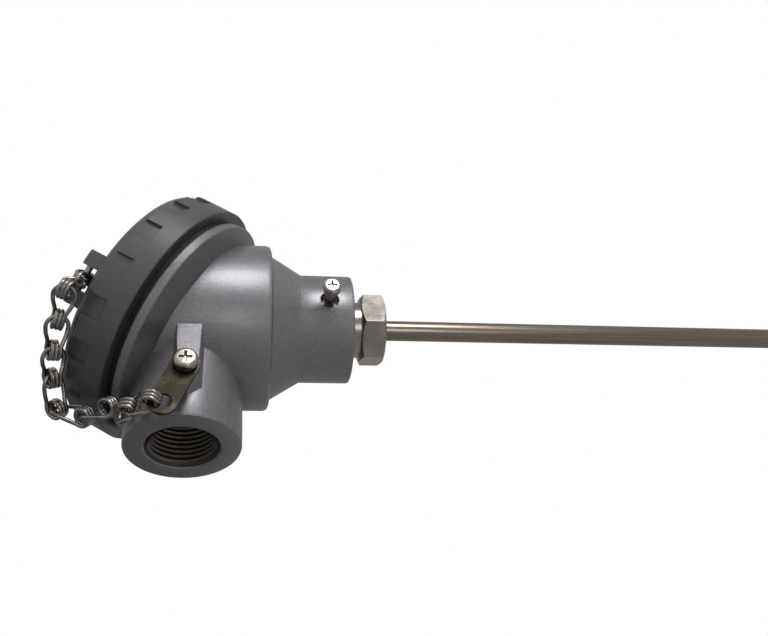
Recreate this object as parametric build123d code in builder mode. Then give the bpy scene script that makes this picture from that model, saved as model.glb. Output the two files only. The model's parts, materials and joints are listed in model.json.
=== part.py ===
# Thermocouple with an angled connection head.
# Origin: stem axis at the neck's end face. +Z towards the head, +X out of the conduit entry. mm.
import os
from math import cos, radians, sin, tan

from build123d import *

os.makedirs("parts", exist_ok=True)

# Neck, cone and body of the head
NECK_R = 15.9
NECK_LEN = 14.8
NECK_EDGE = 0.7
CONE_TOP_R = 21.2
BODY_Z = 23.6
BODY_R = 24.25
BODY_EDGE = 1.5
FLOOR_Z = 27.0
CHAMBER_R = 21.0
NECK_BORE_R = 8.33
PASSAGE_R = 7.5

# Tilted flange, collar and cover
TILT = 33.2
FLANGE_X = 1.0
FLANGE_Z = 48.0
FLANGE_R = 33.9
FLANGE_BAND = 2.8
FLANGE_UNDER = 4.2
COLLAR_R = 31.0
COLLAR_BORE_R = 26.6
COLLAR_H = 10.5
GAP = 1.65
COVER_R = 36.5
COVER_BORE_R = 31.25
COVER_BAND_TOP = 7.5
PAD_TOP = 12.9
PAD_EDGE = 0.5
POCKET_R = 35.65
COVER_TOP = 16.1
COVER_INSIDE = 13.2
COVER_TOP_R = 33.6
PAD_COUNT = 18
PAD_START = 12.5
PAD_ARC = 10.0
GASKET_R = 33.3

# Ears on the cover and their pin
EAR_AZ = 56.0
EAR_GAP = 6.8
EAR_W = 4.4
EAR_OUT_R = 32.9
EAR_IN_R = 25.8
EAR_TOP = 21.1
PIN_R = 0.9
PIN_RADIAL = 30.4
PIN_H = 19.55

# Conduit entry
BOSS_Z = 47.0
BOSS_R = 15.75
BOSS_X = 41.5
BOSS_EDGE = 0.75
THREAD_MINOR_R = 9.19
THREAD_MOUTH_R = 10.5
THREAD_LEN = 14.0
CONDUIT_R = 8.0

# Lug, tag screw and tag
LUG_FACE_Y = 19.4
LUG_Z = 45.9
TAG_X = 28.8
TAG_Z = 46.4
TAG_SCREW_R = 1.5
TAG_HEAD_R = 3.2
TAG_Y = 19.9
TAG_T = 0.8
TAG_W = 7.6
TAG_LEN = 12.9
TAG_ANGLE = 23.0
TAG_HOLE_R = 2.3

# Fitting and stem
SHANK_R = 8.25
SHANK_TOP = 12.0
HEX_AF = 19.0
HEX_TOP = -3.0
HEX_END = -10.0
STEM_R = 3.0
STEM_SEAT_R = 2.8
WELD_H = 1.05
STEM_WALL = 0.6
STEM_END = -150.0
STEM_TOP = 15.0
WIRE_R = 0.35
WIRE_Y = 0.95

# Set screw
SET_AZ = 84.0
SET_Z = 7.2
SET_R = 1.45
SET_HEAD_R = 2.6

# Terminal block
BLOCK_R = 19.4
BLOCK_BORE_R = 4.0
BLOCK_TOP = 36.0
MOUNT_X = 13.0
TERM_Y = 10.0
TERM_LEN = 9.0
TERM_W = 7.0
TERM_TOP = 43.0
LEAD_Z = 39.4
LEAD_R = 0.6
CLAMP_Y = 7.7
OUTER_CLAMP_Y = 12.3

# Chain wire
WIRE = 0.6
COIL_R = 2.3
COIL_STEP = 1.2

FLANGE_PLANE = Plane(
    origin=(FLANGE_X, 0, FLANGE_Z),
    x_dir=(cos(radians(TILT)), 0, sin(radians(TILT))),
    z_dir=(-sin(radians(TILT)), 0, cos(radians(TILT))),
)


def save(body, name):
    body.part.label = name
    export_step(body.part, "parts/" + name + ".step")


def turned(profile_points, plane=Plane.XZ, axis=Axis.Z):
    with BuildPart() as body:
        with BuildSketch(plane):
            with BuildLine():
                Polyline(*profile_points, close=True)
            make_face()
        revolve(axis=axis)
    return body


TILT_SECTION = Plane(
    origin=FLANGE_PLANE.origin,
    x_dir=FLANGE_PLANE.x_dir,
    z_dir=(0, -1, 0),
)
TILT_AXIS = Axis(FLANGE_PLANE.origin, FLANGE_PLANE.z_dir)

# Head casting: neck, cone, body, flange, collar, conduit boss and lug in one piece
shell_outline = turned(
    [
        (0, 0),
        (NECK_R - NECK_EDGE, 0),
        (NECK_R - 0.2, 0.2),
        (NECK_R, NECK_EDGE),
        (NECK_R, NECK_LEN),
        (CONE_TOP_R, BODY_Z),
        (BODY_R - BODY_EDGE, BODY_Z),
        (BODY_R - 0.44, BODY_Z + 0.44),
        (BODY_R, BODY_Z + BODY_EDGE),
        (BODY_R, 75),
        (0, 75),
    ]
)
flange_outline = turned(
    [
        (0, -FLANGE_UNDER - 6),
        (BODY_R - 4, -FLANGE_UNDER),
        (BODY_R, -FLANGE_UNDER),
        (FLANGE_R - 0.3, -FLANGE_BAND),
        (FLANGE_R, -FLANGE_BAND + 0.3),
        (FLANGE_R, -0.4),
        (FLANGE_R - 0.4, 0),
        (0, 0),
    ],
    TILT_SECTION,
    TILT_AXIS,
)
collar_outline = turned(
    [
        (0, -2),
        (COLLAR_R, -2),
        (COLLAR_R, COLLAR_H - 0.8),
        (COLLAR_R - 0.8, COLLAR_H),
        (0, COLLAR_H),
    ],
    TILT_SECTION,
    TILT_AXIS,
)
boss_outline = turned(
    [
        (0, BOSS_Z),
        (BOSS_X, BOSS_Z),
        (BOSS_X, BOSS_Z + BOSS_R - BOSS_EDGE),
        (BOSS_X - 0.22, BOSS_Z + BOSS_R - 0.22),
        (BOSS_X - BOSS_EDGE, BOSS_Z + BOSS_R),
        (0, BOSS_Z + BOSS_R),
    ],
    Plane.XZ,
    Axis((0, 0, BOSS_Z), (1, 0, 0)),
)
boss_bore = turned(
    [
        (10, BOSS_Z),
        (BOSS_X + 1, BOSS_Z),
        (BOSS_X + 1, BOSS_Z + THREAD_MOUTH_R + 0.8),
        (BOSS_X - 1.3, BOSS_Z + THREAD_MINOR_R),
        (BOSS_X - THREAD_LEN, BOSS_Z + THREAD_MINOR_R),
        (BOSS_X - THREAD_LEN, BOSS_Z + CONDUIT_R),
        (10, BOSS_Z + CONDUIT_R),
    ],
    Plane.XZ,
    Axis((0, 0, BOSS_Z), (1, 0, 0)),
)
with BuildPart() as lug:
    with BuildSketch(Plane.XZ.offset(-12.0)):
        with BuildLine():
            Polyline(
                (8, LUG_Z - 4.5),
                (33, LUG_Z - 4.5),
                (37.5, LUG_Z),
                (33, LUG_Z + 4.5),
                (8, LUG_Z + 4.5),
                close=True,
            )
        make_face()
    with BuildSketch(Plane.XZ.offset(-LUG_FACE_Y)):
        with BuildLine():
            Polyline(
                (8, LUG_Z - 3.6),
                (31.5, LUG_Z - 2.6),
                (33.4, LUG_Z),
                (31.5, LUG_Z + 2.6),
                (8, LUG_Z + 3.6),
                close=True,
            )
        make_face()
    loft(ruled=True)

with BuildPart() as housing:
    add(shell_outline.part)
    add(boss_outline.part)
    with BuildSketch(FLANGE_PLANE):
        Rectangle(200, 200)
    extrude(amount=80, mode=Mode.SUBTRACT)
    add(flange_outline.part)
    add(collar_outline.part)
    add(lug.part)
    # Chamber, tilted mouth, passage and neck bore
    with BuildSketch(Plane.XY.offset(FLOOR_Z)):
        Circle(CHAMBER_R)
    extrude(amount=60, mode=Mode.SUBTRACT)
    with BuildSketch(FLANGE_PLANE.offset(-1.5)):
        Circle(COLLAR_BORE_R)
    extrude(amount=30, mode=Mode.SUBTRACT)
    with BuildSketch(Plane.XY):
        Circle(NECK_BORE_R)
    extrude(amount=NECK_LEN - 0.8, mode=Mode.SUBTRACT)
    with BuildSketch(Plane.XY):
        Circle(PASSAGE_R)
    extrude(amount=FLOOR_Z + 1, mode=Mode.SUBTRACT)
    add(boss_bore.part, mode=Mode.SUBTRACT)
    # Tag screw hole
    with BuildSketch(Plane.XZ.offset(-LUG_FACE_Y - 1)):
        with Locations((TAG_X, TAG_Z)):
            Circle(TAG_SCREW_R)
    extrude(amount=8.0, mode=Mode.SUBTRACT)
    # Set screw hole with its wider mouth
    set_plane = Plane(
        origin=(0, 0, SET_Z),
        x_dir=(0, 0, 1),
        z_dir=(cos(radians(SET_AZ)), sin(radians(SET_AZ)), 0),
    )
    with BuildSketch(set_plane.offset(7.0)):
        Circle(SET_R)
    extrude(amount=12, mode=Mode.SUBTRACT)
    with BuildSketch(set_plane.offset(13.4)):
        Circle(SET_HEAD_R + 0.05)
    extrude(amount=6, mode=Mode.SUBTRACT)
    # Tapped holes for the block screws
    with BuildSketch(Plane.XY.offset(FLOOR_Z - 5)):
        with Locations((-MOUNT_X, 0), (MOUNT_X, 0)):
            Circle(1.25)
    extrude(amount=6, mode=Mode.SUBTRACT)
save(housing, "housing")

# Gasket ring on the flange
with BuildPart() as cover_gasket:
    with BuildSketch(FLANGE_PLANE):
        Circle(GASKET_R)
        Circle(COLLAR_R + 0.1, mode=Mode.SUBTRACT)
    extrude(amount=GAP)
save(cover_gasket, "cover_gasket")

# Cover with grip pads and the two chain ears
cover_outline = turned(
    [
        (COVER_BORE_R, GAP),
        (COVER_R - 0.3, GAP),
        (COVER_R, GAP + 0.3),
        (COVER_R, PAD_TOP - PAD_EDGE),
        (COVER_R - PAD_EDGE, PAD_TOP),
        (POCKET_R + 0.1, PAD_TOP),
        (POCKET_R - 0.25, PAD_TOP + 1.2),
        (POCKET_R - 0.7, PAD_TOP + 1.9),
        (COVER_TOP_R + 0.2, COVER_TOP - 0.5),
        (COVER_TOP_R - 0.6, COVER_TOP),
        (0, COVER_TOP),
        (0, COVER_INSIDE),
        (COVER_BORE_R - 1.2, COVER_INSIDE),
        (COVER_BORE_R, COVER_INSIDE - 1.2),
    ],
    TILT_SECTION,
    TILT_AXIS,
)
POCKET_MID = PAD_START + PAD_ARC + 180 / PAD_COUNT - PAD_ARC / 2
POCKET_TAN = tan(radians(180 / PAD_COUNT - PAD_ARC / 2))
EAR_PLANE = Plane(
    origin=FLANGE_PLANE.origin,
    x_dir=FLANGE_PLANE.x_dir * cos(radians(EAR_AZ)) + FLANGE_PLANE.y_dir * sin(radians(EAR_AZ)),
    z_dir=FLANGE_PLANE.z_dir,
)
EAR_SIDE = (EAR_GAP + EAR_W) / 2
with BuildPart() as ears:
    with BuildSketch(EAR_PLANE.offset(COVER_TOP - 0.6)):
        with Locations(((EAR_IN_R + EAR_OUT_R) / 2, -EAR_SIDE), ((EAR_IN_R + EAR_OUT_R) / 2, EAR_SIDE)):
            Rectangle(EAR_OUT_R - EAR_IN_R, EAR_W)
        Circle(EAR_OUT_R, mode=Mode.INTERSECT)
    extrude(amount=EAR_TOP - COVER_TOP + 0.6)
    chamfer(ears.faces().sort_by(Axis(EAR_PLANE.origin, EAR_PLANE.z_dir))[-2:].edges(), 0.45)
PIN_PLANE = Plane(
    origin=EAR_PLANE.origin + EAR_PLANE.x_dir * PIN_RADIAL + EAR_PLANE.z_dir * PIN_H,
    x_dir=EAR_PLANE.z_dir,
    z_dir=EAR_PLANE.y_dir,
)
with BuildPart() as cover:
    add(cover_outline.part)
    with BuildSketch(FLANGE_PLANE.offset(COVER_BAND_TOP)):
        with PolarLocations(0, PAD_COUNT, start_angle=POCKET_MID):
            Polygon(
                (30, -30 * POCKET_TAN),
                (40, -40 * POCKET_TAN),
                (40, 40 * POCKET_TAN),
                (30, 30 * POCKET_TAN),
                align=None,
            )
        Circle(POCKET_R, mode=Mode.SUBTRACT)
    extrude(amount=PAD_TOP - COVER_BAND_TOP + 1.0, mode=Mode.SUBTRACT)
    add(ears.part)
    with BuildSketch(PIN_PLANE.offset(-12)):
        Circle(PIN_R)
    extrude(amount=24, mode=Mode.SUBTRACT)
save(cover, "cover")

# Pin through both ears
PIN_HALF = EAR_GAP / 2 + EAR_W - 0.4
with BuildPart() as chain_pin:
    with BuildSketch(PIN_PLANE.offset(-PIN_HALF)):
        Circle(PIN_R)
    extrude(amount=2 * PIN_HALF)
save(chain_pin, "chain_pin")

# Hex fitting
with BuildPart() as hex_fitting:
    with BuildSketch(Plane.XY.offset(HEX_END)):
        RegularPolygon(HEX_AF / 2, 6, major_radius=False, rotation=6)
    extrude(amount=HEX_TOP - HEX_END)
    hex_round = turned(
        [
            (0, HEX_END),
            (HEX_AF / 2 - 0.1, HEX_END),
            (HEX_AF / 2 + 1.7, HEX_END + 1.0),
            (HEX_AF / 2 + 1.7, HEX_TOP - 1.0),
            (HEX_AF / 2 - 0.1, HEX_TOP),
            (0, HEX_TOP),
        ]
    )
    add(hex_round.part, mode=Mode.INTERSECT)
    with BuildSketch(Plane.XY.offset(HEX_TOP)):
        Circle(SHANK_R)
    extrude(amount=SHANK_TOP - HEX_TOP)
    chamfer(hex_fitting.edges().sort_by(Axis.Z)[-1], 0.6)
    with BuildSketch(Plane.XY.offset(HEX_END)):
        Circle(STEM_SEAT_R)
    extrude(amount=SHANK_TOP - HEX_END + 1, mode=Mode.SUBTRACT)
save(hex_fitting, "hex_fitting")

# Weld bead where the stem leaves the nut
stem_weld_ring = turned(
    [
        (STEM_SEAT_R, HEX_END),
        (STEM_R + 1.1, HEX_END),
        (STEM_R + 1.0, HEX_END - 0.5),
        (STEM_R + 0.45, HEX_END - 0.95),
        (STEM_R, HEX_END - WELD_H),
        (STEM_SEAT_R, HEX_END - WELD_H),
    ]
)
save(stem_weld_ring, "stem_weld_ring")

# Sheath tube with a closed round tip
CORE_R = STEM_R - STEM_WALL
with BuildPart() as sheath_tube:
    with BuildSketch(Plane.XY.offset(STEM_TOP)):
        Circle(STEM_SEAT_R)
    extrude(amount=HEX_END - WELD_H - STEM_TOP)
    with BuildSketch(Plane.XY.offset(HEX_END - WELD_H)):
        Circle(STEM_R)
    extrude(amount=STEM_END + STEM_R - HEX_END + WELD_H)
    with Locations((0, 0, STEM_END + STEM_R)):
        Sphere(STEM_R)
    with BuildSketch(Plane.XY.offset(STEM_TOP)):
        Circle(CORE_R)
    extrude(amount=STEM_END + STEM_R - STEM_TOP, mode=Mode.SUBTRACT)
    with Locations((0, 0, STEM_END + STEM_R)):
        Sphere(CORE_R, mode=Mode.SUBTRACT)
save(sheath_tube, "sheath_tube")

# Thermocouple wires, joined at the tip, rising to the terminals
JOINT_Z = STEM_END + STEM_R
WIRE_TOP_Z = LEAD_Z
BEND = 3.2


def wire_body(side):
    with BuildPart() as body:
        with BuildLine() as path:
            rise = Line((0, side * WIRE_Y, JOINT_Z), (0, side * WIRE_Y, WIRE_TOP_Z - BEND))
            turn = RadiusArc(
                rise @ 1,
                (0, side * (WIRE_Y + BEND), WIRE_TOP_Z),
                -side * BEND,
                short_sagitta=True,
            )
            Line(turn @ 1, (0, side * (CLAMP_Y + 1.2), WIRE_TOP_Z))
        with BuildSketch(Plane(origin=path.line @ 0, z_dir=path.line % 0)):
            Circle(WIRE_R)
        sweep()
    return body


wire_positive = wire_body(1)
wire_negative = wire_body(-1)
with BuildPart() as junction:
    with Locations((0, 0, JOINT_Z)):
        Sphere(1.45)
with BuildPart() as wire_positive_whole:
    add(wire_positive.part)
    add(junction.part)
with BuildPart() as wire_negative_whole:
    add(wire_negative.part)
    add(junction.part, mode=Mode.SUBTRACT)
save(wire_positive_whole, "wire_positive")
save(wire_negative_whole, "wire_negative")

# Packed mineral filling of the sheath
with BuildPart() as mineral_core:
    with BuildSketch(Plane.XY.offset(STEM_TOP)):
        Circle(CORE_R)
    extrude(amount=STEM_END + STEM_R - STEM_TOP)
    with Locations((0, 0, STEM_END + STEM_R)):
        Sphere(CORE_R)
    with BuildSketch(Plane.XY.offset(STEM_TOP)):
        with Locations((0, WIRE_Y), (0, -WIRE_Y)):
            Circle(WIRE_R)
    extrude(amount=STEM_END + STEM_R - STEM_TOP, mode=Mode.SUBTRACT)
    add(junction.part, mode=Mode.SUBTRACT)
save(mineral_core, "mineral_core")

# Sealing plug over the sheath's open end
with BuildPart() as potting_seal:
    with BuildSketch(Plane.XY.offset(SHANK_TOP)):
        Circle(PASSAGE_R - 0.9)
    extrude(amount=8.0)
    with BuildSketch(Plane.XY.offset(SHANK_TOP)):
        Circle(STEM_SEAT_R)
    extrude(amount=STEM_TOP - SHANK_TOP, mode=Mode.SUBTRACT)
    with BuildSketch(Plane.XY.offset(SHANK_TOP)):
        with Locations((0, WIRE_Y), (0, -WIRE_Y)):
            Circle(WIRE_R)
    extrude(amount=9.0, mode=Mode.SUBTRACT)
save(potting_seal, "potting_seal")

# Ceramic terminal block
BLOCK_SCREW_R = 1.6
COUNTER_R = 3.6
COUNTER_Z = BLOCK_TOP - 3.0
with BuildPart() as terminal_block:
    with BuildSketch(Plane.XY.offset(FLOOR_Z)):
        Circle(BLOCK_R)
    extrude(amount=BLOCK_TOP - FLOOR_Z)
    chamfer(terminal_block.edges().sort_by(Axis.Z)[-1], 0.8)
    # Low wall that parts the two terminals
    with BuildSketch(Plane.XY.offset(BLOCK_TOP - 0.5)):
        Rectangle(15.0, 2.4)
        with Locations((0, 0)):
            Circle(BLOCK_BORE_R, mode=Mode.SUBTRACT)
    extrude(amount=4.0)
    with BuildSketch(Plane.XY.offset(FLOOR_Z)):
        Circle(BLOCK_BORE_R)
    extrude(amount=BLOCK_TOP - FLOOR_Z + 5, mode=Mode.SUBTRACT)
    with BuildSketch(Plane.XY.offset(FLOOR_Z)):
        with Locations((-MOUNT_X, 0), (MOUNT_X, 0)):
            Circle(BLOCK_SCREW_R)
    extrude(amount=20, mode=Mode.SUBTRACT)
    with BuildSketch(Plane.XY.offset(COUNTER_Z)):
        with Locations((-MOUNT_X, 0), (MOUNT_X, 0)):
            Circle(COUNTER_R)
    extrude(amount=20, mode=Mode.SUBTRACT)
    # Seats for the terminals
    with BuildSketch(Plane.XY.offset(BLOCK_TOP - 1.0)):
        with Locations((0, TERM_Y), (0, -TERM_Y)):
            Rectangle(TERM_W + 0.1, TERM_LEN + 0.1)
    extrude(amount=2, mode=Mode.SUBTRACT)
save(terminal_block, "terminal_block")


def terminal_body(side):
    with BuildPart() as body:
        with BuildSketch(Plane.XY.offset(BLOCK_TOP - 1.0)):
            with Locations((0, side * TERM_Y)):
                Rectangle(TERM_W, TERM_LEN)
        extrude(amount=TERM_TOP - BLOCK_TOP + 1.0)
        chamfer(body.edges().filter_by(Axis.Z), 0.6)
        with BuildSketch(Plane.XZ.offset(-side * (TERM_Y - TERM_LEN / 2 - 1))):
            with Locations((0, LEAD_Z)):
                Circle(LEAD_R)
        extrude(amount=-side * (TERM_LEN + 2), mode=Mode.SUBTRACT)
        with BuildSketch(Plane.XY.offset(LEAD_Z)):
            with Locations((0, side * CLAMP_Y), (0, side * OUTER_CLAMP_Y)):
                Circle(1.2)
        extrude(amount=8, mode=Mode.SUBTRACT)
    return body


save(terminal_body(1), "terminal_positive")
save(terminal_body(-1), "terminal_negative")


def slotted_screw(x, y, tip, seat, shank_r, head_r, head_h, slot):
    with BuildPart() as body:
        with BuildSketch(Plane.XY.offset(tip)):
            with Locations((x, y)):
                Circle(shank_r)
        extrude(amount=seat - tip)
        with BuildSketch(Plane.XY.offset(seat)):
            with Locations((x, y)):
                Circle(head_r)
        extrude(amount=head_h)
        with BuildSketch(Plane.XY.offset(seat + head_h - 0.7)):
            with Locations((x, y)):
                Rectangle(2 * head_r + 1, slot)
        extrude(amount=2, mode=Mode.SUBTRACT)
    return body


screw_places = [(1, CLAMP_Y), (1, OUTER_CLAMP_Y), (-1, CLAMP_Y), (-1, OUTER_CLAMP_Y)]
for index, (side, place) in enumerate(screw_places, 1):
    inner = place == CLAMP_Y
    tip = LEAD_Z + WIRE_R + 0.02 if inner else LEAD_Z + LEAD_R
    seat = TERM_TOP if inner else TERM_TOP + 0.6
    save(slotted_screw(0, side * place, tip, seat, 1.2, 2.0, 1.7, 0.5), "terminal_screw_%d" % index)

# Spring-loaded screws that hold the block down
SPRING_TOP = COUNTER_Z + 5.0
for index, x in enumerate((-MOUNT_X, MOUNT_X), 1):
    with BuildPart() as spring:
        for turn_index in range(4):
            with Locations((x, 0, COUNTER_Z + 0.5 + turn_index * 1.25)):
                Torus(2.5, 0.42)
        with BuildSketch(Plane.XY.offset(COUNTER_Z)):
            with Locations((x, 0)):
                Circle(2.7)
                Circle(2.3, mode=Mode.SUBTRACT)
        extrude(amount=SPRING_TOP - COUNTER_Z)
    save(spring, "block_spring_%d" % index)
    save(slotted_screw(x, 0, FLOOR_Z - 4.5, SPRING_TOP, 1.25, 3.0, 1.9, 0.7), "block_screw_%d" % index)


def cross_cut(plane, depth, across, width):
    with BuildPart() as body:
        with BuildSketch(plane):
            Rectangle(across, width)
            Rectangle(width, across)
        extrude(amount=-depth)
    return body


# Set screw on the neck
with BuildPart() as set_screw:
    with BuildSketch(set_plane.offset(SHANK_R + 0.25)):
        Circle(SET_R)
    extrude(amount=21.1 - SHANK_R - 0.25)
    with BuildSketch(set_plane.offset(21.1)):
        Circle(SET_HEAD_R)
    extrude(amount=2.1)
    fillet(set_screw.edges().filter_by(lambda e: (e.center() - set_plane.origin).dot(set_plane.z_dir) > 23.1), 0.9)
    add(cross_cut(set_plane.offset(23.2), 1.1, 2.8, 0.6).part, mode=Mode.SUBTRACT)
save(set_screw, "set_screw")

# Tag screw on the lug
tag_face = Plane(origin=(TAG_X, LUG_FACE_Y, TAG_Z), x_dir=(1, 0, 0), z_dir=(0, 1, 0))
with BuildPart() as tag_screw:
    with BuildSketch(tag_face.offset(-6.5)):
        Circle(TAG_SCREW_R)
    extrude(amount=6.5 + 2.0)
    with BuildSketch(tag_face.offset(2.0)):
        Circle(TAG_HEAD_R)
    extrude(amount=2.3)
    fillet(tag_screw.edges().filter_by(lambda e: (e.center() - tag_face.origin).dot(tag_face.z_dir) > 4.2), 1.0)
    add(cross_cut(tag_face.offset(4.3), 1.2, 3.6, 0.75).part, mode=Mode.SUBTRACT)
save(tag_screw, "tag_screw")

# Tag plate on the tag screw
tag_plane = Plane(
    origin=(TAG_X, TAG_Y, TAG_Z),
    x_dir=(cos(radians(TAG_ANGLE)), 0, sin(radians(TAG_ANGLE))),
    z_dir=(0, 1, 0),
)
with BuildPart() as tag_plate:
    with BuildSketch(tag_plane):
        with Locations((TAG_LEN / 2, 0)):
            SlotCenterToCenter(TAG_LEN, TAG_W)
        Circle(TAG_SCREW_R + 0.06, mode=Mode.SUBTRACT)
        with Locations((TAG_LEN, 0)):
            Circle(TAG_HOLE_R, mode=Mode.SUBTRACT)
    extrude(amount=TAG_T)
save(tag_plate, "tag_plate")

# Chain links: a three-turn coil and a loop that runs through the next coil.
# Each row has the coil centre, the coil axis, the loop direction, the loop length and its half width.
LINKS = [
    ("chain_link_01", (4.518, 25.200, 73.668), (-0.5324, 0.7380, -0.4147), (0.7315, 0.6474, 0.2133), 5.67, 2.00),
    ("chain_link_02", (13.14, 30.40, 76.81), (-0.3996, 0.0490, 0.9154), (-0.8581, -0.3713, -0.3547), 6.35, 2.85),
    ("chain_link_03", (17.32, 23.41, 79.00), (-0.0539, 0.2691, 0.9616), (-0.4951, 0.8291, -0.2598), 9.40, 2.85),
    ("chain_link_04", (21.82, 16.19, 80.41), (0.2262, 0.3204, 0.9199), (-0.5219, 0.8373, -0.1632), 9.47, 2.85),
    ("chain_link_05", (25.41, 8.89, 81.08), (0.4649, 0.3054, 0.8310), (-0.4397, 0.8943, -0.0827), 8.93, 2.85),
    ("chain_link_06", (30.06, 1.33, 80.18), (0.7036, 0.3600, 0.6127), (-0.5219, 0.8469, 0.1018), 9.87, 2.85),
    ("chain_link_07", (34.09, 3.74, 72.57), (0.7094, 0.4707, 0.5246), (-0.4506, -0.2696, 0.8511), 9.61, 2.85),
    ("chain_link_08", (34.77, 9.19, 66.06), (0.6857, 0.5210, 0.5083), (-0.0805, -0.6398, 0.7643), 8.83, 2.85),
    ("chain_link_09", (38.97, 15.24, 60.09), (0.9718, -0.0747, 0.2237), (-0.1663, -0.8896, 0.4253), 6.00, 2.85),
    ("chain_link_10", (40.15, 20.30, 54.34), (0.9811, -0.0133, 0.1922), (-0.1542, -0.6523, 0.7421), 7.91, 2.85),
]


def link_body(centre, coil_axis, loop_dir, length, half):
    frame = Plane(origin=centre, x_dir=loop_dir, z_dir=coil_axis)
    section = Plane(origin=centre, x_dir=frame.x_dir, z_dir=frame.y_dir * -1)
    straight = length - half
    leg = [
        (-COIL_STEP, 2.25, -0.4),
        (-COIL_STEP - 0.12 * (half - COIL_STEP), 1.89, 0.3 * straight),
        (-COIL_STEP - 0.72 * (half - COIL_STEP), 0.9, 0.68 * straight),
    ]
    bow = []
    for angle in (-82, -50, -20, 20, 50, 82):
        bow.append((half * sin(radians(angle)), -0.1125 * angle / 82, straight + half * cos(radians(angle))))
    knots = leg + bow + [(-a, -b, d) for a, b, d in leg[::-1]]
    side = frame.y_dir * -1
    path_points = [
        Vector(*centre) + frame.z_dir * a + side * b + frame.x_dir * d for a, b, d in knots
    ]
    with BuildPart() as body:
        with BuildSketch(section):
            with Locations((COIL_R, -COIL_STEP), (COIL_R, 0), (COIL_R, COIL_STEP)):
                Circle(WIRE + 0.02)
            with Locations((COIL_R, 0)):
                Rectangle(0.7, 2 * COIL_STEP)
        revolve(axis=Axis(centre, coil_axis))
        with BuildLine() as path:
            Spline(*path_points)
        with BuildSketch(Plane(origin=path.line @ 0, z_dir=path.line % 0)):
            Circle(WIRE - 0.01)
        sweep()
    return body


for name, centre, coil_axis, loop_dir, length, half in LINKS:
    save(link_body(centre, coil_axis, loop_dir, length, half), name)
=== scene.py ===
"""Thermocouple with an angled connection head: finishes, wound chain links, conduit thread and studio."""

import json
from math import cos, pi, radians, sin
import bmesh
import bpy
from mathutils import Matrix, Vector

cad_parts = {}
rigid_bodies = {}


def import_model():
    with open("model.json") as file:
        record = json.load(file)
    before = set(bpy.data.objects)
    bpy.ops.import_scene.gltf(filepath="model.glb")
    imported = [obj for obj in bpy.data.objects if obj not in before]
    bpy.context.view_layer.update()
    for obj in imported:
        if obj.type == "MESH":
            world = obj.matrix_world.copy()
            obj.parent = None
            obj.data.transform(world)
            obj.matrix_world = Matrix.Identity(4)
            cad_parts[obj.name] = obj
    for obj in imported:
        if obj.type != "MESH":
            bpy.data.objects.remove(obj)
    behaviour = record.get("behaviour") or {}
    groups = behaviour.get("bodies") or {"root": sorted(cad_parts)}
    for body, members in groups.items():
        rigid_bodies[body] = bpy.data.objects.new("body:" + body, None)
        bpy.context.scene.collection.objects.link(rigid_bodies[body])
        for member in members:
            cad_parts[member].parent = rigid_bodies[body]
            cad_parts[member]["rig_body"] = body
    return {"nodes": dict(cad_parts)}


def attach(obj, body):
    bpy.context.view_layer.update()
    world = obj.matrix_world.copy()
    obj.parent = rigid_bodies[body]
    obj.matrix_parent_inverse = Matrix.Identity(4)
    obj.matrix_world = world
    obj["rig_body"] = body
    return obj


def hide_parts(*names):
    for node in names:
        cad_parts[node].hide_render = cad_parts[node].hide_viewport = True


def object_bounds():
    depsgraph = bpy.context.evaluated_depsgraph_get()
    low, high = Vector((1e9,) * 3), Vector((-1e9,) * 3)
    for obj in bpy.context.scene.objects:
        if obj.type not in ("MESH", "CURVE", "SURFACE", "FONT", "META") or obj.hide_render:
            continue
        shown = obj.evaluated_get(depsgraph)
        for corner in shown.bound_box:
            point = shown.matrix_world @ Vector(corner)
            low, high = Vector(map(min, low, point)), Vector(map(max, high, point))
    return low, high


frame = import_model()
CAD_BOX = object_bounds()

bl_info = {
    "name": "Thermocouple with head",
    "version": (1, 0, 0),
    "blender": (4, 5, 0),
    "location": "3D View > Sidebar > Thermocouple",
    "description": "Dresses the thermocouple's solids and sets up its studio",
    "category": "Object",
}

MM = 0.001
NODES = frame["nodes"]

# A point on the cover's axis, then the conduit boss: height of its axis, outer face and dark bore
HEAD_CENTRE = Vector((1.0, 0.0, 48.0)) * MM
BOSS_HEIGHT = 47.0 * MM
BOSS_FACE = 41.5 * MM
BORE_RADIUS = 10.05 * MM
BORE_START = 20.0 * MM

# The ten links, from the pin to the tag, in mm
# Coil centre, coil axis, loop direction, loop length, half width
LINKS = [
    ((4.518, 25.200, 73.668), (-0.5324, 0.7380, -0.4147), (0.7315, 0.6474, 0.2133), 5.67, 2.00),
    ((13.14, 30.40, 76.81), (-0.3996, 0.0490, 0.9154), (-0.8581, -0.3713, -0.3547), 6.35, 2.85),
    ((17.32, 23.41, 79.00), (-0.0539, 0.2691, 0.9616), (-0.4951, 0.8291, -0.2598), 9.40, 2.85),
    ((21.82, 16.19, 80.41), (0.2262, 0.3204, 0.9199), (-0.5219, 0.8373, -0.1632), 9.47, 2.85),
    ((25.41, 8.89, 81.08), (0.4649, 0.3054, 0.8310), (-0.4397, 0.8943, -0.0827), 8.93, 2.85),
    ((30.06, 1.33, 80.18), (0.7036, 0.3600, 0.6127), (-0.5219, 0.8469, 0.1018), 9.87, 2.85),
    ((34.09, 3.74, 72.57), (0.7094, 0.4707, 0.5246), (-0.4506, -0.2696, 0.8511), 9.61, 2.85),
    ((34.77, 9.19, 66.06), (0.6857, 0.5210, 0.5083), (-0.0805, -0.6398, 0.7643), 8.83, 2.85),
    ((38.97, 15.24, 60.09), (0.9718, -0.0747, 0.2237), (-0.1663, -0.8896, 0.4253), 6.00, 2.85),
    ((40.15, 20.30, 54.34), (0.9811, -0.0133, 0.1922), (-0.1542, -0.6523, 0.7421), 7.91, 2.85),
]

# A link's wire: a leg leaves each end of the coil and the two meet in a round bow
COIL_STEPS = 26
PATH_STEPS = 4
# Where a leg starts along the coil's axis, in mm
LEG_START = 1.2
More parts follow.
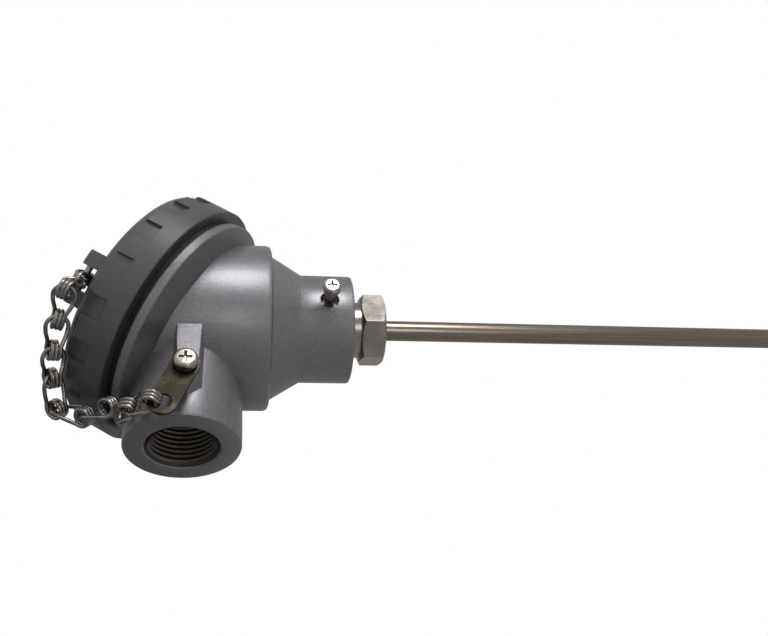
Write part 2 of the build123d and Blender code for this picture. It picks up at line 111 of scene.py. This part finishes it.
# Points of a leg: share of the way out to the bow, height over the link's middle in mm, share of its length
LEG_POINTS = ((0.12, 1.89, 0.30), (0.72, 0.90, 0.68))
# Angles of the bow's points in degrees, and how far its ends lie off the link's middle in mm
BOW_ANGLES = (-82, -50, -20, 20, 50, 82)
BOW_SLANT = 0.1125

# Conduit thread: steps in a turn, steps of run-in at each end, and where it starts behind the boss's face
THREAD_STEPS = 72
RUN_IN_STEPS = 20
THREAD_INSET = 1.1 * MM
# Half widths of the thread's foot and crest in pitches, and the share of its depth at the very ends
FOOT_HALF = 0.42
CREST_HALF = 0.08
END_SHARE = 0.15


# Settings
class FinishSettings(bpy.types.PropertyGroup):
    paint: bpy.props.FloatVectorProperty(
        name="Head paint",
        description="Colour of the speckled metallic paint on the casting",
        default=(0.225, 0.218, 0.231),
        subtype="COLOR",
    )
    cover_paint: bpy.props.FloatVectorProperty(
        name="Cover paint",
        description="Colour of the smoother paint on the cover",
        default=(0.118, 0.113, 0.120),
        subtype="COLOR",
    )
    nickel: bpy.props.FloatVectorProperty(
        name="Plated steel",
        description="Colour of the plated hexagon and screws",
        default=(0.42, 0.385, 0.35),
        subtype="COLOR",
    )
    sheath: bpy.props.FloatVectorProperty(
        name="Sheath steel",
        description="Colour of the drawn sheath tube",
        default=(0.27, 0.235, 0.20),
        subtype="COLOR",
    )
    chain: bpy.props.FloatVectorProperty(
        name="Chain steel",
        description="Colour of the chain's wire",
        default=(0.36, 0.34, 0.32),
        subtype="COLOR",
    )
    # The tag's near-black colour is partly the plate's own dark brown and partly painted dark reflection
    tag: bpy.props.FloatVectorProperty(
        name="Tag steel",
        description="Colour of the bare tag plate",
        default=(0.024, 0.019, 0.013),
        subtype="COLOR",
    )


class WireSettings(bpy.types.PropertyGroup):
    radius: bpy.props.FloatProperty(
        name="Wire radius",
        description="Radius of the chain's wire",
        default=0.56 * MM,
        min=0.2 * MM,
        unit="LENGTH",
    )
    coil_radius: bpy.props.FloatProperty(
        name="Coil radius",
        description="Radius of a link's coil, at the middle of the wire",
        default=2.3 * MM,
        min=1.0 * MM,
        unit="LENGTH",
    )
    coil_half: bpy.props.FloatProperty(
        name="Coil half length",
        description="Half the distance between a coil's first and last turn",
        default=1.28 * MM,
        min=0.5 * MM,
        unit="LENGTH",
    )
    turns: bpy.props.FloatProperty(
        name="Coil turns",
        description="Turns of wire in a link's coil; a half turn more than a whole number",
        default=2.5,
        min=0.5,
    )
    sides: bpy.props.IntProperty(
        name="Sides",
        description="Sides of the wire's round section",
        default=12,
        min=3,
    )


class ThreadSettings(bpy.types.PropertyGroup):
    pitch: bpy.props.FloatProperty(
        name="Pitch",
        description="Pitch of the conduit thread",
        default=1.5 * MM,
        min=0.5 * MM,
        unit="LENGTH",
    )
    root_radius: bpy.props.FloatProperty(
        name="Root radius",
        description="Radius at the foot of the thread's turns",
        default=9.26 * MM,
        min=2.0 * MM,
        unit="LENGTH",
    )
    depth: bpy.props.FloatProperty(
        name="Depth",
        description="How far the turns stand into the bore",
        default=0.62 * MM,
        min=0.1 * MM,
        unit="LENGTH",
    )
    length: bpy.props.FloatProperty(
        name="Length",
        description="Length of the threaded stretch",
        default=12.4 * MM,
        min=1.0 * MM,
        unit="LENGTH",
    )


class StageSettings(bpy.types.PropertyGroup):
    key: bpy.props.FloatProperty(
        name="Key light",
        description="Power of the large soft light over the part",
        default=1.6,
        min=0.0,
        unit="POWER",
    )
    fill: bpy.props.FloatProperty(
        name="Fill light",
        description="Power of the soft light beside the camera",
        default=1.15,
        min=0.0,
        unit="POWER",
    )
    floor: bpy.props.FloatVectorProperty(
        name="Floor",
        description="Colour of the plain floor",
        default=(0.92, 0.92, 0.92),
        subtype="COLOR",
    )


# Shader maths
class Value:
    """A shader socket that takes the usual operators; each adds a Math node."""

    def __init__(self, recipe, socket):
        self.recipe = recipe
        self.socket = socket

    def maths(self, operation, first, second=0.0):
        return self.recipe.node("ShaderNodeMath", {"operation": operation}, {0: first, 1: second})

    def __add__(self, other):
        return self.maths("ADD", self, other)

    def __radd__(self, other):
        return self.maths("ADD", other, self)

    def __sub__(self, other):
        return self.maths("SUBTRACT", self, other)

    def __mul__(self, other):
        return self.maths("MULTIPLY", self, other)

    def __rmul__(self, other):
        return self.maths("MULTIPLY", other, self)

    def __pow__(self, other):
        return self.maths("POWER", self, other)

    def __lt__(self, other):
        return self.maths("LESS_THAN", self, other)

    def __gt__(self, other):
        return self.maths("GREATER_THAN", self, other)


class Recipe:
    """One node tree of a material or of the world, and its place coordinates."""

    def __init__(self, tree, coordinate="Object"):
        self.tree = tree
        self.place = self.node("ShaderNodeTexCoord", {}, {}, coordinate)

    def node(self, kind, settings, inputs, output=0):
        made = self.tree.nodes.new(kind)
        for key, value in settings.items():
            setattr(made, key, value)
        for key, value in inputs.items():
            if isinstance(value, Value):
                self.tree.links.new(value.socket, made.inputs[key])
            else:
                made.inputs[key].default_value = value
        return Value(self, made.outputs[output])

    def axis(self, letter, vector=None):
        return self.node("ShaderNodeSeparateXYZ", {}, {0: vector or self.place}, letter)

    def stretched(self, factors):
        settings = {"operation": "MULTIPLY"}
        return self.node("ShaderNodeVectorMath", settings, {0: self.place, 1: factors})

    def noise(self, scale, detail=2.0, vector=None, roughness=0.5):
        inputs = {"Vector": vector or self.place, "Scale": scale, "Detail": detail, "Roughness": roughness}
        return self.node("ShaderNodeTexNoise", {}, inputs, 0)

    def mix(self, factor, first, second):
        settings = {"data_type": "RGBA"}
        return self.node("ShaderNodeMix", settings, {0: factor, 6: first, 7: second}, 2)

    def ramp(self, factor, low, high):
        settings = {"clamp": True}
        inputs = {"Value": factor, "From Min": low, "From Max": high}
        return self.node("ShaderNodeMapRange", settings, inputs)

    def bump(self, height, strength, distance, normal=None):
        inputs = {"Strength": strength, "Distance": distance, "Height": height}
        if normal:
            inputs["Normal"] = normal
        return self.node("ShaderNodeBump", {}, inputs, 0)

    def rounded(self, radius):
        return self.node("ShaderNodeBevel", {"samples": 4}, {"Radius": radius}, 0)


def shade(colour, factor):
    return (*[min(1.0, c * factor) for c in colour], 1.0)


def material(name, build, **fixed):
    made = bpy.data.materials.new(name)
    made.use_nodes = True
    recipe = Recipe(made.node_tree)
    shader = made.node_tree.nodes["Principled BSDF"]
    for key, value in fixed.items():
        shader.inputs[key.replace("_", " ")].default_value = value
    for key, value in build(recipe).items():
        made.node_tree.links.new(value.socket, shader.inputs[key])
    return made


# Finishes
def head_paint(colour):
    """Silver-grey metallic paint: fine flakes, faint orange peel, bare dark metal in the conduit bore."""

    def build(r):
        flakes = r.noise(2600.0, 2.0, roughness=0.7)
        patches = r.noise(55.0, 3.0)
        tone = r.ramp(flakes, 0.30, 0.72)
        paint = r.mix(tone, shade(colour, 0.70), shade(colour, 1.38))
        paint = r.mix(r.ramp(patches, 0.35, 0.75) * 0.22, paint, shade(colour, 0.80))
        off_axis = (r.axis("Y") ** 2 + (r.axis("Z") - BOSS_HEIGHT) ** 2) ** 0.5
        bore = (off_axis < BORE_RADIUS) * (r.axis("X") > BORE_START)
        paint = r.mix(bore, paint, (0.060, 0.054, 0.048, 1.0))
        peel = r.noise(1150.0, 2.0)
        normal = r.bump(peel, 0.16, 0.06 * MM, r.rounded(0.35 * MM))
        normal = r.bump(flakes, 0.32, 0.04 * MM, normal)
        return {
            "Base Color": paint,
            "Roughness": 0.33 + 0.12 * flakes + 0.03 * bore,
            "Metallic": 0.62 + 0.3 * bore,
            "Normal": normal,
        }

    return material("head_paint", build, Coat_Weight=0.12)


def cover_paint(colour):
    """The cover's paint: darker, with a smoother surface."""

    def build(r):
        flakes = r.noise(2600.0, 2.0, roughness=0.7)
        patches = r.noise(48.0, 3.0)
        paint = r.mix(r.ramp(flakes, 0.30, 0.72), shade(colour, 0.86), shade(colour, 1.15))
        paint = r.mix(r.ramp(patches, 0.35, 0.75) * 0.25, paint, shade(colour, 0.78))
        normal = r.bump(r.noise(1000.0, 2.0), 0.10, 0.05 * MM, r.rounded(0.4 * MM))
        return {
            "Base Color": paint,
            "Roughness": 0.33 + 0.10 * patches,
            "Metallic": 0.55 + 0.1 * flakes,
            "Normal": normal,
        }

    return material("cover_paint", build, Coat_Weight=0.1)


def gasket_rubber():
    def build(r):
        dust = r.noise(420.0, 3.0)
        return {
            "Base Color": r.mix(dust, (0.004, 0.004, 0.004, 1.0), (0.012, 0.012, 0.012, 1.0)),
            "Roughness": 0.62 + 0.2 * dust,
            "Normal": r.bump(dust, 0.2, 0.05 * MM),
        }

    return material("gasket_rubber", build)


def plated_steel(name, colour, roughness=0.17):
    """Bright plating with soft wear and fine turning marks."""

    def build(r):
        wear = r.noise(160.0, 4.0)
        marks = r.noise(1.0, 3.0, r.stretched((700.0, 700.0, 5200.0)))
        tone = r.ramp(wear, 0.32, 0.72)
        return {
            "Base Color": r.mix(tone, shade(colour, 0.72), shade(colour, 1.12)),
            "Roughness": roughness + 0.13 * tone + 0.06 * marks,
            "Metallic": 0.96 + 0.04 * tone,
            "Normal": r.bump(marks, 0.08, 0.03 * MM, r.rounded(0.22 * MM)),
        }

    return material(name, build)


def drawn_steel(colour):
    """Drawn tube: streaks along the stem and a slightly brown tarnish in long clouds."""

    def build(r):
        streaks = r.noise(1.0, 4.0, r.stretched((2600.0, 2600.0, 26.0)))
        clouds = r.noise(1.0, 2.0, r.stretched((240.0, 240.0, 34.0)))
        metal = r.mix(r.ramp(streaks, 0.30, 0.70), shade(colour, 0.70), shade(colour, 1.22))
        metal = r.mix(r.ramp(clouds, 0.45, 0.80) * 0.45, metal, (0.30, 0.245, 0.19, 1.0))
        return {
            "Base Color": metal,
            "Roughness": 0.16 + 0.16 * streaks,
            "Metallic": 0.97 + 0.03 * clouds,
            "Normal": r.bump(streaks, 0.18, 0.03 * MM),
        }

    return material("drawn_steel", build)


def chain_steel(colour):
    def build(r):
        wear = r.noise(420.0, 4.0)
        tone = r.ramp(wear, 0.35, 0.68)
        return {
            "Base Color": r.mix(tone, shade(colour, 0.55), shade(colour, 1.25)),
            "Roughness": 0.15 + 0.17 * wear,
            "Metallic": 0.96 + 0.04 * tone,
            "Normal": r.bump(wear, 0.08, 0.04 * MM),
        }

    return material("chain_steel", build)


def tag_steel(colour):
    """Dark brown plate whose near-black colour is partly its own and partly painted dark reflection,
    brushed along its length and brighter at the rubbed spots.
    """

    def build(r):
        brushed = r.noise(1.0, 3.0, r.stretched((260.0, 500.0, 3800.0)))
        rubbed = r.ramp(r.noise(210.0, 3.0), 0.50, 0.74)
        metal = r.mix(r.ramp(brushed, 0.3, 0.7), shade(colour, 0.70), shade(colour, 1.35))
        metal = r.mix(rubbed * 0.30, metal, (0.20, 0.175, 0.135, 1.0))
        return {
            "Base Color": metal,
            "Roughness": 0.30 + 0.14 * brushed - 0.06 * rubbed,
            "Metallic": 0.84 + 0.12 * rubbed,
            "Normal": r.bump(brushed, 0.15, 0.03 * MM, r.rounded(0.15 * MM)),
        }

    return material("tag_steel", build)


def thread_metal():
    """Bare dark casting where the conduit thread was cut."""

    def build(r):
        grain = r.noise(700.0, 3.0)
        return {
            "Base Color": r.mix(grain, (0.055, 0.047, 0.040, 1.0), (0.20, 0.18, 0.16, 1.0)),
            "Roughness": 0.24 + 0.16 * grain,
            "Metallic": 0.88 + 0.1 * grain,
            "Normal": r.bump(grain, 0.1, 0.04 * MM),
        }

    return material("thread_metal", build)


def plain_finish(name, low, high, roughness, metallic=0.0, scale=300.0):
    """A quiet surface with a little mottling, for the pieces inside the head."""

    def build(r):
        mottle = r.noise(scale, 3.0)
        return {
            "Base Color": r.mix(mottle, (*low, 1.0), (*high, 1.0)),
            "Roughness": roughness + 0.12 * mottle,
            "Metallic": metallic + 0.04 * mottle,
            "Normal": r.bump(mottle, 0.12, 0.05 * MM),
        }

    return material(name, build)


# Meshes
def dressed(node, finish, sharp=32.0):
    """Stands a merged, smooth-shaded copy of a solid's mesh in its place."""
    merged = bmesh.new()
    merged.from_mesh(NODES[node].data)
    bmesh.ops.remove_doubles(merged, verts=merged.verts, dist=0.002 * MM)
    mesh = bpy.data.meshes.new(node + "_dressed")
    merged.to_mesh(mesh)
    merged.free()
    if "custom_normal" in mesh.attributes:
        mesh.attributes.remove(mesh.attributes["custom_normal"])
    mesh.shade_smooth()
    mesh.set_sharp_from_angle(angle=radians(sharp))
    mesh.materials.clear()
    mesh.materials.append(finish)
    piece = bpy.data.objects.new(node + "_dressed", mesh)
    bpy.context.scene.collection.objects.link(piece)
    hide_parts(node)
    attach(piece, NODES[node]["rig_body"])
    return piece


def smooth_path(points, steps):
    """Closed curve through the points: Catmull-Rom spans, each cut into equal steps."""
    count = len(points)
    path = []
    for i in range(count):
        before, start, end, after = (points[(i + k) % count] for k in (-1, 0, 1, 2))
        for step in range(steps):
            t = step / steps
            path.append(
                0.5
                * (
                    2 * start
                    + (end - before) * t
                    + (2 * before - 5 * start + 4 * end - after) * t**2
                    + (3 * start - before - 3 * end + after) * t**3
                )
            )
    return path


def link_points(centre, coil_axis, loop_dir, length, half, wire):
    """Points of one link's wire: the coil's turns, then the loop back to its start."""
    centre = Vector(centre) * MM
    axis = Vector(coil_axis).normalized()
    along = Vector(loop_dir)
    along = (along - axis * along.dot(axis)).normalized()
    side = along.cross(axis)
    straight = length - half
    local = []
    for i in range(COIL_STEPS + 1):
        turn = wire.turns * 2 * pi * i / COIL_STEPS
        rise = -wire.coil_half + 2 * wire.coil_half * i / COIL_STEPS
        local.append((rise, wire.coil_radius * cos(turn), -wire.coil_radius * sin(turn)))
    spread = half - LEG_START
    leg = [(-LEG_START - out * spread, height, way * straight) for out, height, way in LEG_POINTS]
    bow = []
    for angle in BOW_ANGLES:
        slant = -BOW_SLANT * angle / BOW_ANGLES[-1]
        bow.append((half * sin(radians(angle)), slant, straight + half * cos(radians(angle))))
    loop = leg + bow + [(-a, -b, d) for a, b, d in reversed(leg)]
    local += [(a * MM, b * MM, d * MM) for a, b, d in reversed(loop)]
    return [centre + axis * a + side * b + along * d for a, b, d in local]


def wire_tree():
    """Geometry Nodes tree that sweeps a round section along a closed path of edges."""
    tree = bpy.data.node_groups.new("Drawn wire", "GeometryNodeTree")
    face = tree.interface
    sockets = {"Path": "Geometry", "Radius": "Float", "Sides": "Int", "Finish": "Material"}
    for name, kind in sockets.items():
        face.new_socket(name, in_out="INPUT", socket_type="NodeSocket" + kind)
    face.new_socket("Wire", in_out="OUTPUT", socket_type="NodeSocketGeometry")
    nodes = tree.nodes
    given = nodes.new("NodeGroupInput")
    to_curve = nodes.new("GeometryNodeMeshToCurve")
    section = nodes.new("GeometryNodeCurvePrimitiveCircle")
    sweep = nodes.new("GeometryNodeCurveToMesh")
    smooth = nodes.new("GeometryNodeSetShadeSmooth")
    realize = nodes.new("GeometryNodeRealizeInstances")
    finish = nodes.new("GeometryNodeSetMaterial")
    result = nodes.new("NodeGroupOutput")
    link = tree.links.new
    link(given.outputs["Path"], to_curve.inputs["Mesh"])
    link(given.outputs["Radius"], section.inputs["Radius"])
    link(given.outputs["Sides"], section.inputs["Resolution"])
    link(to_curve.outputs["Curve"], sweep.inputs["Curve"])
    link(section.outputs["Curve"], sweep.inputs["Profile Curve"])
    link(sweep.outputs["Mesh"], smooth.inputs["Geometry"])
    link(smooth.outputs["Geometry"], realize.inputs["Geometry"])
    link(realize.outputs["Geometry"], finish.inputs["Geometry"])
    link(given.outputs["Finish"], finish.inputs["Material"])
    link(finish.outputs["Geometry"], result.inputs["Wire"])
    return tree


def swept(name, path, tree, radius, sides, finish):
    """Runs the wire tree on a path and returns the plain mesh object that it makes."""
    mesh = bpy.data.meshes.new(name + "_path")
    count = len(path)
    mesh.from_pydata(path, [(i, (i + 1) % count) for i in range(count)], [])
    source = bpy.data.objects.new(name + "_path", mesh)
    bpy.context.scene.collection.objects.link(source)
    modifier = source.modifiers.new("Drawn wire", "NODES")
    modifier.node_group = tree
    given = {item.name: item.identifier for item in tree.interface.items_tree if item.in_out == "INPUT"}
    modifier[given["Radius"]] = radius
    modifier[given["Sides"]] = sides
    modifier[given["Finish"]] = finish
    graph = bpy.context.evaluated_depsgraph_get()
    solid = bpy.data.meshes.new_from_object(source.evaluated_get(graph))
    source.modifiers.remove(modifier)
    bpy.data.objects.remove(source)
    bpy.data.meshes.remove(mesh)
    solid.name = name
    piece = bpy.data.objects.new(name, solid)
    bpy.context.scene.collection.objects.link(piece)
    return piece


# Operators
class HEAD_OT_castings(bpy.types.Operator):
    bl_idname = "thermocouple.castings"
    bl_label = "Head and cover"
    bl_description = "Dress the head casting, the cover and the gasket"

    def execute(self, context):
        """Paints the two castings and puts rubber on the gasket."""
        finish = context.scene.thermocouple_finish
        dressed("housing", head_paint(finish.paint))
        dressed("cover", cover_paint(finish.cover_paint))
        dressed("cover_gasket", gasket_rubber())
        return {"FINISHED"}


class HEAD_OT_steelwork(bpy.types.Operator):
    bl_idname = "thermocouple.steelwork"
    bl_label = "Fitting, sheath and screws"
    bl_description = "Dress the hexagon, the sheath tube, the pin and the outer screws"

    def execute(self, context):
        """Dress the hexagon, the sheath tube and the outer screws"""
        finish = context.scene.thermocouple_finish
        nickel = plated_steel("nickel_steel", finish.nickel)
        screws = plated_steel("screw_steel", shade(finish.nickel, 1.12)[:3], 0.13)
        tube = drawn_steel(finish.sheath)
        dressed("hex_fitting", nickel)
        for node in ("set_screw", "tag_screw", "block_screw_1", "block_screw_2"):
            dressed(node, screws)
        for index in range(1, 5):
            dressed("terminal_screw_%d" % index, screws)
        dressed("sheath_tube", tube)
        dressed("stem_weld_ring", tube)
        dressed("tag_plate", tag_steel(finish.tag))
        return {"FINISHED"}


class HEAD_OT_inside(bpy.types.Operator):
    bl_idname = "thermocouple.inside"
    bl_label = "Terminals and wires"
    bl_description = "Dress the terminal block, terminals, springs, wires, seal and mineral filling"

    def execute(self, context):
        """Finishes what the cover hides."""
        ceramic = plain_finish("block_ceramic", (0.66, 0.63, 0.56), (0.80, 0.77, 0.70), 0.45)
        brass = plain_finish("terminal_brass", (0.50, 0.36, 0.14), (0.66, 0.49, 0.22), 0.20, 0.92, 500.0)
        resin = plain_finish("seal_resin", (0.012, 0.012, 0.013), (0.03, 0.03, 0.03), 0.35)
        alloy = plain_finish("wire_metal", (0.30, 0.27, 0.23), (0.45, 0.41, 0.35), 0.25, 0.92, 600.0)
        spring = plain_finish("spring_steel", (0.34, 0.33, 0.31), (0.5, 0.48, 0.45), 0.2, 0.92, 600.0)
        dressed("terminal_block", ceramic)
        dressed("mineral_core", ceramic)
        dressed("potting_seal", resin)
        for name in ("positive", "negative"):
            dressed("terminal_" + name, brass)
            dressed("wire_" + name, alloy)
        for index in (1, 2):
            dressed("block_spring_%d" % index, spring)
        return {"FINISHED"}


class HEAD_OT_chain(bpy.types.Operator):
    bl_idname = "thermocouple.chain"
    bl_label = "Retaining chain"
    bl_description = "Wind the chain's links from round wire and dress the chain's pin"

    def execute(self, context):
        """Winds each link on its own body."""
        wire = context.scene.thermocouple_wire
        steel = chain_steel(context.scene.thermocouple_finish.chain)
        tree = wire_tree()
        for index, row in enumerate(LINKS, 1):
            node = "chain_link_%02d" % index
            path = smooth_path(link_points(*row, wire), PATH_STEPS)
            piece = swept(node + "_wire", path, tree, wire.radius, wire.sides, steel)
            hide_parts(node)
            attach(piece, NODES[node]["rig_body"])
        dressed("chain_pin", steel)
        return {"FINISHED"}


class HEAD_OT_thread(bpy.types.Operator):
    bl_idname = "thermocouple.thread"
    bl_label = "Conduit thread"
    bl_description = "Lay the turns of the conduit thread in its bore as one raised ridge"

    def execute(self, context):
        """Sweeps a closed four-cornered section along the thread's helix."""
        thread = context.scene.thermocouple_thread
        total = int(THREAD_STEPS * thread.length / thread.pitch)
        start = BOSS_FACE - THREAD_INSET
        foot = FOOT_HALF * thread.pitch
        top = CREST_HALF * thread.pitch
        rings = []
        mesh = bmesh.new()
        for i in range(total + 1):
            angle = 2 * pi * i / THREAD_STEPS
            run_in = min(1.0, i / RUN_IN_STEPS, (total - i) / RUN_IN_STEPS)
            crest = thread.root_radius - thread.depth * (END_SHARE + (1 - END_SHARE) * run_in)
            x = start - thread.pitch * i / THREAD_STEPS
            corners = (
                (x + foot, thread.root_radius),
                (x + top, crest),
                (x - top, crest),
                (x - foot, thread.root_radius),
            )
            rings.append(
                [mesh.verts.new((cx, r * cos(angle), BOSS_HEIGHT + r * sin(angle))) for cx, r in corners]
            )
        for one, two in zip(rings, rings[1:]):
            for k in range(4):
                mesh.faces.new((one[k], one[(k + 1) % 4], two[(k + 1) % 4], two[k]))
        mesh.faces.new(rings[0])
        mesh.faces.new(rings[-1][::-1])
        bmesh.ops.recalc_face_normals(mesh, faces=mesh.faces)
        data = bpy.data.meshes.new("conduit_thread")
        mesh.to_mesh(data)
        mesh.free()
        data.shade_smooth()
        data.set_sharp_from_angle(angle=radians(35))
        data.materials.append(thread_metal())
        piece = bpy.data.objects.new("conduit_thread", data)
        context.scene.collection.objects.link(piece)
        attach(piece, "head")
        return {"FINISHED"}


# Studio: the camera's place and its own directions in the part's frame
CAMERA_PLACE = Vector((186.73, 230.35, 37.46)) * MM
CAMERA_BACK = Vector((0.63157, 0.75859, 0.16019))
CAMERA_RIGHT = Vector((0.08499, 0.13763, -0.98683))
CAMERA_UP = Vector((-0.77064, 0.63687, 0.02245))
LENS = 46.875
SENSOR_WIDTH = 36.0

# Lamps: how far up, back and right of the head as the camera sees it, distance and width in metres
KEY_WAY = (0.95, 0.26, 0.30)
KEY_REACH = 0.55
KEY_WIDTH = 0.26
FILL_WAY = (0.20, 0.80, 0.60)
FILL_REACH = 0.60
FILL_WIDTH = 0.35

# Surroundings as the part mirrors them, from below to above in the camera's view
ROOM_LOW = (0.145, 0.145, 0.150, 1.0)
ROOM_HIGH = (0.66, 0.65, 0.65, 1.0)
WHITE = (1.0, 1.0, 1.0, 1.0)
FLOOR_REACH = 3.0
FLOOR_GAP = 0.2 * MM


def soft_light(name, way, reach, width, power):
    """Hangs a round lamp off the head's centre and turns it to face the head."""
    up, back, right = way
    offset = (up * CAMERA_UP + back * CAMERA_BACK + right * CAMERA_RIGHT) * reach
    lamp = bpy.data.lights.new(name, "AREA")
    lamp.shape = "DISK"
    lamp.size = width
    lamp.energy = power
    holder = bpy.data.objects.new(name, lamp)
    holder.location = HEAD_CENTRE + offset
    holder.rotation_euler = (-offset).to_track_quat("-Z", "Y").to_euler()
    bpy.context.scene.collection.objects.link(holder)


def floor_paper(colour):
    """Matt paper that the camera sees as plain white."""
    paper = bpy.data.materials.new("floor_paper")
    paper.use_nodes = True
    recipe = Recipe(paper.node_tree)
    shader = paper.node_tree.nodes["Principled BSDF"]
    shader.inputs["Base Color"].default_value = (*colour, 1.0)
    shader.inputs["Roughness"].default_value = 0.9
    camera_ray = recipe.node("ShaderNodeLightPath", {}, {}, "Is Camera Ray")
    seen = recipe.node("ShaderNodeEmission", {}, {"Color": WHITE, "Strength": 1.0})
    lit = Value(recipe, shader.outputs[0])
    both = recipe.node("ShaderNodeMixShader", {}, {0: camera_ray, 1: lit, 2: seen})
    output = paper.node_tree.nodes["Material Output"]
    paper.node_tree.links.new(both.socket, output.inputs["Surface"])
    return paper


def lay_floor(colour):
    """Lays the floor just under the sheath's tip."""
    level = CAD_BOX[0].z - FLOOR_GAP
    around = ((-1, -1), (1, -1), (1, 1), (-1, 1))
    mesh = bpy.data.meshes.new("floor")
    mesh.from_pydata([(x * FLOOR_REACH, y * FLOOR_REACH, level) for x, y in around], [], [(0, 1, 2, 3)])
    mesh.materials.append(floor_paper(colour))
    floor = bpy.data.objects.new("floor", mesh)
    bpy.context.scene.collection.objects.link(floor)


def pale_room():
    """Surroundings: white to the camera, and a pale room with a darker lower side to everything else."""
    world = bpy.data.worlds.new("pale_room")
    world.use_nodes = True
    room = Recipe(world.node_tree, "Generated")
    across = {0: room.place, 1: tuple(CAMERA_UP)}
    height = room.node("ShaderNodeVectorMath", {"operation": "DOT_PRODUCT"}, across, "Value")
    tone = room.mix(room.ramp(height, -0.60, 0.75), ROOM_LOW, ROOM_HIGH)
    camera_ray = room.node("ShaderNodeLightPath", {}, {}, "Is Camera Ray")
    colour = room.mix(camera_ray, tone, WHITE)
    world.node_tree.links.new(colour.socket, world.node_tree.nodes["Background"].inputs["Color"])
    return world


def main_camera():
    lens = bpy.data.cameras.new("camera")
    lens.lens = LENS
    lens.sensor_width = SENSOR_WIDTH
    lens.clip_start = 0.01
    lens.clip_end = 20.0
    camera = bpy.data.objects.new("camera", lens)
    turned = Matrix((CAMERA_RIGHT, CAMERA_UP, CAMERA_BACK)).transposed().to_4x4()
    camera.matrix_world = Matrix.Translation(CAMERA_PLACE) @ turned
    bpy.context.scene.collection.objects.link(camera)
    return camera


class HEAD_OT_studio(bpy.types.Operator):
    bl_idname = "thermocouple.studio"
    bl_label = "Studio"
    bl_description = "Set up the floor, the lights, the pale surroundings and the camera"

    def execute(self, context):
        """Builds the stage round the dressed part."""
        stage = context.scene.thermocouple_stage
        lay_floor(stage.floor)
        context.scene.world = pale_room()
        soft_light("key_light", KEY_WAY, KEY_REACH, KEY_WIDTH, stage.key)
        soft_light("fill_light", FILL_WAY, FILL_REACH, FILL_WIDTH, stage.fill)
        context.scene.camera = main_camera()
        context.scene.view_settings.view_transform = "Standard"
        return {"FINISHED"}


class HEAD_PT_panel(bpy.types.Panel):
    bl_label = "Thermocouple"
    bl_idname = "HEAD_PT_panel"
    bl_space_type = "VIEW_3D"
    bl_region_type = "UI"
    bl_category = "Thermocouple"

    def draw(self, context):
        column = self.layout.column()
        for operator in OPERATORS:
            column.operator(operator.bl_idname)
        for group in ("finish", "wire", "thread", "stage"):
            settings = getattr(context.scene, "thermocouple_" + group)
            box = self.layout.box()
            for name in settings.__annotations__:
                box.prop(settings, name)


OPERATORS = (
    HEAD_OT_castings,
    HEAD_OT_steelwork,
    HEAD_OT_inside,
    HEAD_OT_chain,
    HEAD_OT_thread,
    HEAD_OT_studio,
)
SETTINGS = {
    "thermocouple_finish": FinishSettings,
    "thermocouple_wire": WireSettings,
    "thermocouple_thread": ThreadSettings,
    "thermocouple_stage": StageSettings,
}


def register():
    for made in (*SETTINGS.values(), *OPERATORS, HEAD_PT_panel):
        bpy.utils.register_class(made)
    for name, group in SETTINGS.items():
        setattr(bpy.types.Scene, name, bpy.props.PointerProperty(type=group))


def unregister():
    for name in SETTINGS:
        delattr(bpy.types.Scene, name)
    for made in (HEAD_PT_panel, *OPERATORS, *reversed(SETTINGS.values())):
        bpy.utils.unregister_class(made)


def main():
    register()
    bpy.ops.thermocouple.castings()
    bpy.ops.thermocouple.steelwork()
    bpy.ops.thermocouple.inside()
    bpy.ops.thermocouple.chain()
    bpy.ops.thermocouple.thread()
    bpy.ops.thermocouple.studio()


if __name__ == "__main__":
    main()
